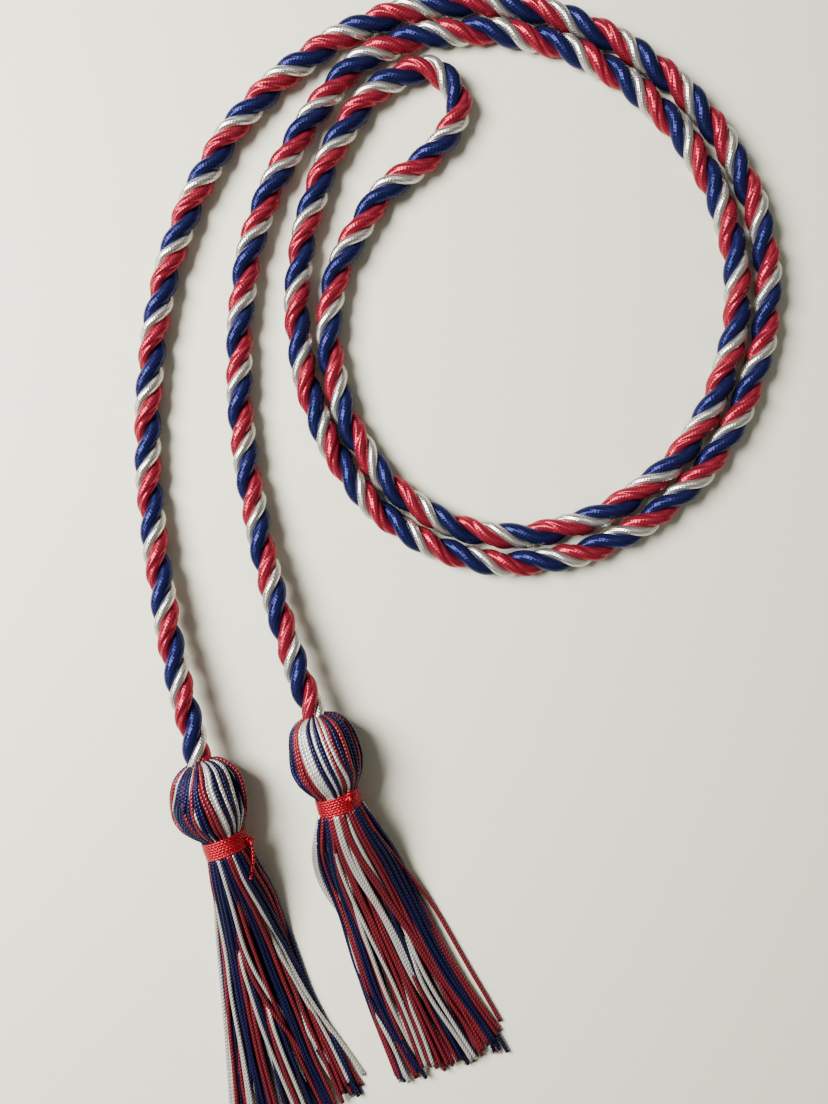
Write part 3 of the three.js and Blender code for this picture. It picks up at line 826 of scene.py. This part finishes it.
# %% Fringe threads of the right tassel
SEEN_THREADS["right"] = [
    ("white", [
        (0, -5.6), (0.05, -7.8), (0.1, -10.2), (0.15, -11.7), (0.2, -12.5), (0.26, -12.4),
        (0.33, -10.8), (0.4, -8.6, 2), (0.7, -7, 2.5), (1, -4, 2.5),
    ]),
    ("white", [
        (0, -5.2, 0.5), (0.08, -8.4), (0.15, -10.8), (0.22, -11.8), (0.3, -11.0), (0.36, -9.6, 1.5),
        (0.65, -8.5, 2), (0.76, -7.2), (0.85, -5.4), (1, -3.8),
    ]),
    ("blue", [
        (0, -5.6), (0.05, -7.3), (0.1, -8.9), (0.17, -10.3), (0.25, -10.3), (0.35, -9.4), (0.5, -9.4),
        (0.6, -9.2), (0.7, -7.6), (0.8, -5.4), (0.9, -2.0), (0.97, 0.2),
    ]),
    ("red", [
        (0, -4.6), (0.07, -6.6), (0.13, -8.4), (0.2, -9.6, 1), (0.4, -8.1), (0.5, -8.3), (0.6, -8.0),
        (0.8, -7.9), (0.97, -6.8),
    ]),
    ("blue", [
        (0, -3.8), (0.1, -5.2), (0.2, -6.8), (0.35, -7.0), (0.5, -6.4), (0.65, -6.4), (0.8, -4.4),
        (0.97, -0.6),
    ]),
    ("blue", [
        (0, -3.4), (0.1, -4.4), (0.2, -6.0), (0.35, -6.0), (0.5, -5.4), (0.65, -5.2), (0.85, -2.6),
        (1, 1.2),
    ]),
    ("red", [
        (0, -4.2, 2), (0.3, -7.2, 1), (0.42, -7.2), (0.52, -7.2), (0.65, -7.2, 1), (0.85, -3.8),
        (0.99, -1.6),
    ]),
    ("white", [
        (0, -4, 3), (0.4, -8.6, 2), (0.5, -8.5), (0.58, -8.5), (0.65, -8.2, 2), (0.76, -7.0),
        (0.85, -5.2), (0.98, -4.4),
    ]),
    ("red", [(0, -3.9, 3), (0.7, -8.4, 1), (0.8, -7.6), (0.9, -6.4), (0.98, -6.0)]),
    ("red", [
        (0, -2.9), (0.1, -3.6), (0.2, -5.8), (0.3, -5.6), (0.4, -4.8), (0.55, -4.0, 0.6), (0.75, -3.4),
        (0.99, -1.0),
    ]),
    ("white", [
        (0, -2.5, 2), (0.08, -4.1), (0.2, -4.7), (0.3, -4.2), (0.4, -3.2), (0.5, -2.0), (0.6, -0.5),
        (0.7, 0.5), (0.8, 1.3), (0.96, 2.2),
    ]),
    ("white", [
        (0, -2.3, 3), (0.42, -4.4), (0.52, -3.6), (0.62, -3.3), (0.72, -2.5), (0.8, -1.6, 1),
        (1, 1.0, 2),
    ]),
    ("red", [
        (0, -2.2), (0.1, -3.0), (0.2, -3.0), (0.3, -2.4), (0.4, -1.4), (0.5, -0.6), (0.7, -0.6, 0.6),
        (0.96, 1.0),
    ]),
    ("red", [
        (0, -1.9), (0.1, -2.2), (0.2, -2.2), (0.3, -1.6), (0.4, -0.6), (0.55, 0.8), (0.7, 2.0),
        (0.96, 3.4),
    ]),
    ("white", [
        (0, -1.2), (0.1, -1.8), (0.2, -1.4), (0.27, -0.2), (0.35, 1.8), (0.45, 3.2), (0.6, 4.8),
        (0.7, 6.2, 1), (1, 13, 2),
    ]),
    ("white", [
        (0, -0.6), (0.1, -1.0), (0.2, -0.6), (0.3, 1.0), (0.4, 2.9), (0.5, 4.2), (0.6, 5.4),
        (0.75, 8, 1.5), (1, 14, 2),
    ]),
    ("white", [
        (0, -0.5, 2), (0.17, 0.1), (0.27, 1.2), (0.36, 2.6), (0.5, 4.9), (0.6, 6.0), (0.7, 7.4, 1.5),
        (1, 14, 2),
    ]),
    ("red", [
        (0, 0.3), (0.1, 0.1), (0.2, 1.6), (0.3, 3.8), (0.4, 6.0), (0.5, 8.4), (0.6, 10.4),
        (0.8, 14.6, 1), (0.97, 18),
    ]),
    ("red", [
        (0, 0.9), (0.1, 0.8), (0.2, 2.4), (0.3, 4.6), (0.4, 6.6), (0.5, 9.0), (0.6, 11.2),
        (0.75, 15.2, 1), (0.96, 19),
    ]),
    ("white", [
        (0, 1.5, 1), (0.05, 1.8), (0.12, 2.4), (0.2, 3.4), (0.27, 4.3, 1), (0.42, 6.7, 1), (0.5, 7.6),
        (0.6, 8.4), (0.7, 9.9), (0.85, 13.2), (0.98, 16.2),
    ]),
    ("white", [
        (0, 1.2, 3), (0.45, 6.5, 2), (0.6, 7.1), (0.7, 8.0), (0.8, 10.4), (0.9, 13.1), (0.98, 15.0),
    ]),
    ("blue", [
        (0, 1.4, 1), (0.1, 1.6, 0.6), (0.3, 4.4, 1), (0.42, 5.4), (0.5, 5.6), (0.6, 6.4),
        (0.75, 8.6, 0.6), (0.88, 11.0), (0.97, 12.4),
    ]),
    ("red", [
        (0, 2.7), (0.1, 3.5), (0.2, 5.0), (0.3, 6.4), (0.4, 7.4), (0.5, 9.6, 1), (0.75, 13.2),
        (0.85, 16.0), (0.96, 18.4),
    ]),
    ("red", [
        (0, 3.4), (0.1, 4.5), (0.2, 5.9), (0.3, 7.3, 0.5), (0.45, 9.2), (0.55, 10.4), (0.65, 12.2),
        (0.8, 15.8, 1), (0.95, 20.4),
    ]),
    ("blue", [
        (0, 4.0), (0.1, 5.4), (0.2, 7.2), (0.3, 8.4), (0.4, 9.9), (0.55, 11.8), (0.7, 14.8),
        (0.85, 19.4), (0.95, 21.6),
    ]),
    ("blue", [
        (0, 4.6), (0.1, 6.3), (0.2, 8.3), (0.3, 9.6), (0.4, 11.0), (0.55, 12.9), (0.7, 16.0),
        (0.85, 20.4), (0.94, 22.6),
    ]),
    ("blue", [
        (0, 5.2, 0.6), (0.1, 7.2), (0.2, 9.2), (0.3, 10.6), (0.4, 12.0), (0.55, 14.2), (0.7, 16.8),
        (0.8, 19.2), (0.94, 22.0),
    ]),
    ("red", [
        (0, 4.4, 2), (0.4, 9.6, 1), (0.5, 10.6), (0.6, 12.2), (0.7, 14.2), (0.8, 17.2), (0.94, 20.8),
    ]),
    ("red", [
        (0, 5.4), (0.08, 6.8), (0.16, 8.6), (0.22, 10.2), (0.3, 12.4), (0.4, 15.4), (0.5, 17.7),
        (0.6, 19.6), (0.7, 21.6), (0.8, 23.8), (0.89, 25.6),
    ]),
    ("red", [
        (0, 5.0, 1), (0.15, 8.2, 1), (0.3, 11.4, 1), (0.4, 13.2), (0.5, 14.8), (0.6, 16.4), (0.7, 18.6),
        (0.8, 21.2), (0.92, 24.8),
    ]),
    ("red", [
        (0, 4.9, 2), (0.3, 10.8, 2), (0.45, 13.2), (0.55, 14.8), (0.65, 16.6), (0.8, 20.2),
        (0.93, 23.8),
    ]),
    ("blue", [
        (0, 5.9), (0.06, 7.8), (0.14, 9.6), (0.22, 11.0), (0.32, 12.2), (0.5, 14.0), (0.7, 17.8, 1),
        (0.94, 22.8, 1),
    ]),
    ("red", [(0, -0.4, 2), (0.4, 0.4, 1), (0.5, 1.6), (0.65, 3.2), (0.8, 4.6), (0.97, 6.2)]),
    ("red", [(0, -0.2, 3), (0.45, 1.6, 1), (0.6, 3.4), (0.75, 5.4), (0.97, 8.2)]),
    ("white", [(0, -0.8, 3), (0.6, 1.6, 2), (0.72, 2.6), (0.85, 3.8), (0.96, 4.2)]),
    ("red", [(0, 0.4, 3), (0.5, 4.0, 2), (0.65, 6.0), (0.8, 8.2), (0.97, 11.2)]),
]

# %% [markdown]
# The fringe's section goes from nearly round under the band to flat at the tips. Threads are
# spread over its width and stacked in layers, so a thread's height follows from how far across
# it lies and from its layer.

# %% Section of a fringe
THREAD_RADIUS = 0.62
FRINGE_HEIGHT = 15.5
FRINGE_ALONG = [0, 0.1, 0.22, 0.38, 0.55, 0.72, 0.88, 1]
FRINGE_CREST = [1, 0.9, 0.7, 0.5, 0.38, 0.3, 0.24, 0.2]
FRINGE_SOLE = [0.25, 0.12, 0, 0, 0, 0, 0, 0]
ROUNDNESS = 0.92
# shares of the fringe's length where it starts to lie on its sole, and over which it gets there
FLAT_FROM, FLAT_OVER = 0.1, 0.3


def sides_of(spec, s):
    low = np.interp(s, FRINGE_ALONG, spec["low"]) + THREAD_RADIUS
    return low, np.interp(s, FRINGE_ALONG, spec["high"]) - THREAD_RADIUS


def height_of(s, across, level):
    """A thread's height. across is its share of the fringe's width, and level is 1 on top."""
    crest = np.interp(s, FRINGE_ALONG, FRINGE_CREST) * FRINGE_HEIGHT - THREAD_RADIUS
    sole = np.minimum(np.interp(s, FRINGE_ALONG, FRINGE_SOLE) * FRINGE_HEIGHT + THREAD_RADIUS, crest)
    middle, half = (crest + sole) / 2, (crest - sole) / 2
    room = half * np.sqrt(np.clip(1 - ROUNDNESS * (2 * across - 1) ** 2, 0, 1))
    flat = np.clip((s - FLAT_FROM) / FLAT_OVER, 0, 1)
    return (middle + (2 * level - 1) * room) * (1 - flat) + (sole + 2 * level * room) * flat


# %% Threads of a fringe
THREAD_SIDES = 8
THREAD_STEPS = 56
SEEN_SMOOTHING, LOWER_SMOOTHING = 7, 5
LOWER_LAYERS = [
    # how many threads, and the layer's level from 0 at the surface to 1 on top
    {"count": 15, "level": 0.66},
    {"count": 15, "level": 0.33},
    {"count": 14, "level": 0.0},
]
LOWER_COLOURS = ["red", "red", "red", "blue", "blue", "blue", "white"]
HIGHEST_LOWER = 0.85
# the share of its length by which a lower thread may be cut short
RAGGED = 0.04
# how far a lower thread wavers and drifts across, as shares of the fringe's width
WANDER, WANDER_RISE = 0.04, 4
DRIFT, DRIFT_OVER = 0.07, 0.8
# mm that a thread drops for each mm that it strays past the fringe's side
STRAY_DROP = 0.6


def lower_thread(spec, draw, start, level):
    """A thread under the seen ones. start is its place across the fringe, from 0 to 1."""
    s = np.linspace(0, 1 - draw.random() * RAGGED, THREAD_STEPS)
    waves = s * draw.uniform(0.7, 1.6) + draw.random()
    wave = WANDER * np.sin(2 * math.pi * waves) * np.clip(WANDER_RISE * s, 0, 1)
    across = np.clip(start + draw.uniform(-DRIFT, DRIFT) * np.clip(s / DRIFT_OVER, 0, 1) + wave, 0, 1)
    low, high = sides_of(spec, s)
    return s, softened(low + (high - low) * across, LOWER_SMOOTHING), height_of(s, across, level)


def seen_thread(spec, draw, points):
    places = np.array([p[0] for p in points], float)
    s = np.linspace(0, places[-1], THREAD_STEPS)
    y = softened(np.interp(s, places, [p[1] for p in points]), SEEN_SMOOTHING)
    depth = softened(np.interp(s, places, [p[2] if len(p) > 2 else 0 for p in points]), SEEN_SMOOTHING)
    low, high = sides_of(spec, s)
    across = np.clip((y - low) / (high - low), 0, 1)
    stray = np.maximum(np.maximum(low - y, y - high), 0)
    return s, y, height_of(s, across, 1.0) - depth - stray * STRAY_DROP + draw.uniform(-0.15, 0.15)


# %% Fringes
# mm of each thread that lies hidden under the band
UNDER_BAND = 1.5


def make_fringe(side):
    spec = TASSELS[side]
    place = tassel_place(side)
    draw = random.Random(f"fringe {side}")
    threads = [(colour, seen_thread(spec, draw, points)) for colour, points in SEEN_THREADS[side]]
    for layer in LOWER_LAYERS:
        for k in range(layer["count"]):
            level = min(HIGHEST_LOWER, max(0, layer["level"] + draw.uniform(-0.1, 0.1)))
            colour = draw.choice(LOWER_COLOURS)
            threads.append((colour, lower_thread(spec, draw, k / (layer["count"] - 1), level)))
    start = spec["head"] + NECK_LENGTH - UNDER_BAND
    tubes = []
    for _, (s, y, z) in threads:
        x = start + s * (spec["fringe"] + UNDER_BAND)
        line = np.column_stack([x, y, np.maximum(z, THREAD_RADIUS)])
        tubes.append(place(rings_of(line, THREAD_RADIUS, THREAD_SIDES)))
    indices = [COLOUR_ORDER.index(colour) for colour, _ in threads]
    fringe = make_tubes(f"fringe_threads_{side}", tubes, thread_materials, indices)
    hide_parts(f"tassel_{side}")


for side in TASSELS:
    make_fringe(side)

# %% [markdown]
# ## The surface
#
# The cord lies on a plain pale board. Its paint is smooth, with a slight orange peel that takes
# the hard edge off its reflections. A plane with that grain as a bump is enough, because nothing
# on the board casts a shadow of its own. Its size is in metres.

# %% Surface
FLOOR_SIZE = 6.0
FLOOR_PAINT = "#E9E8D4"
GRAIN_PER_METRE = 260.0
GRAIN_DEPTH = 0.1

floor_mesh = bpy.data.meshes.new("floor")
half = FLOOR_SIZE / 2
corners = [(-half, -half, 0), (half, -half, 0), (half, half, 0), (-half, half, 0)]
floor_mesh.from_pydata(corners, [], [(0, 1, 2, 3)])
floor = bpy.data.objects.new("floor", floor_mesh)
bpy.context.scene.collection.objects.link(floor)
# satin paint on a board: a soft sheen, and no mirror image of the cord
paint = bpy.data.materials.new("painted board, warm white")
paint.use_nodes = True
tree = paint.node_tree
tree.nodes.clear()
place_node = add_node(tree, "ShaderNodeTexCoord")
grain = add_node(
    tree, "ShaderNodeTexNoise", Vector=place_node.outputs["Object"], Scale=GRAIN_PER_METRE, Detail=5.0
)
grain_bump = add_node(
    tree, "ShaderNodeBump", Strength=0.25, Distance=GRAIN_DEPTH * MM, Height=grain.outputs["Fac"]
)
paint_shader = add_node(
    tree, "ShaderNodeBsdfPrincipled",
    Base_Color=linear(FLOOR_PAINT), Roughness=0.62, Normal=grain_bump.outputs[0],
)
add_node(tree, "ShaderNodeOutputMaterial", Surface=paint_shader.outputs[0])
floor_mesh.materials.append(paint)
print(f"floor {FLOOR_SIZE:.0f} m square")

# %% [markdown]
# ## The light
#
# Soft daylight comes from the upper left, and the heads throw dark shadows with soft edges to the
# right. A sun lamp would give the direction, but edges as sharp near the head as far from it. A
# square area lamp of a window's kind blurs them with distance, and its size and height were
# matched to the photograph's shadows. A dim even sky fills them. The window's sizes are in metres.

# %% Light
WINDOW_DISTANCE = 0.65
WINDOW_ELEVATION = math.radians(46)
WINDOW_BEARING = math.radians(160)
WINDOW_SIZE = 0.34
WINDOW_POWER = 14.8
WINDOW_TARGET = np.array([0.03, 0.08, 0.0])
WINDOW_COLOUR = (1.0, 0.975, 0.94)
SKY_STRENGTH = 0.2
SKY_COLOUR = (1.0, 0.97, 0.92, 1.0)

towards = np.array([
    math.cos(WINDOW_ELEVATION) * math.cos(WINDOW_BEARING),
    math.cos(WINDOW_ELEVATION) * math.sin(WINDOW_BEARING),
    math.sin(WINDOW_ELEVATION),
])
window_data = bpy.data.lights.new("window", "AREA")
window_data.shape = "SQUARE"
window_data.size = WINDOW_SIZE
window_data.energy = WINDOW_POWER
window_data.color = WINDOW_COLOUR
window = bpy.data.objects.new("window", window_data)
window.location = WINDOW_TARGET + towards * WINDOW_DISTANCE
window.rotation_euler = (0, math.pi / 2 - WINDOW_ELEVATION, WINDOW_BEARING)
bpy.context.scene.collection.objects.link(window)

world = bpy.data.worlds.new("soft room light")
world.use_nodes = True
world.node_tree.nodes.clear()
sky = add_node(world.node_tree, "ShaderNodeBackground", Color=SKY_COLOUR, Strength=SKY_STRENGTH)
add_node(world.node_tree, "ShaderNodeOutputWorld", Surface=sky.outputs[0])
bpy.context.scene.world = world
print("window at", [round(v, 2) for v in window.location])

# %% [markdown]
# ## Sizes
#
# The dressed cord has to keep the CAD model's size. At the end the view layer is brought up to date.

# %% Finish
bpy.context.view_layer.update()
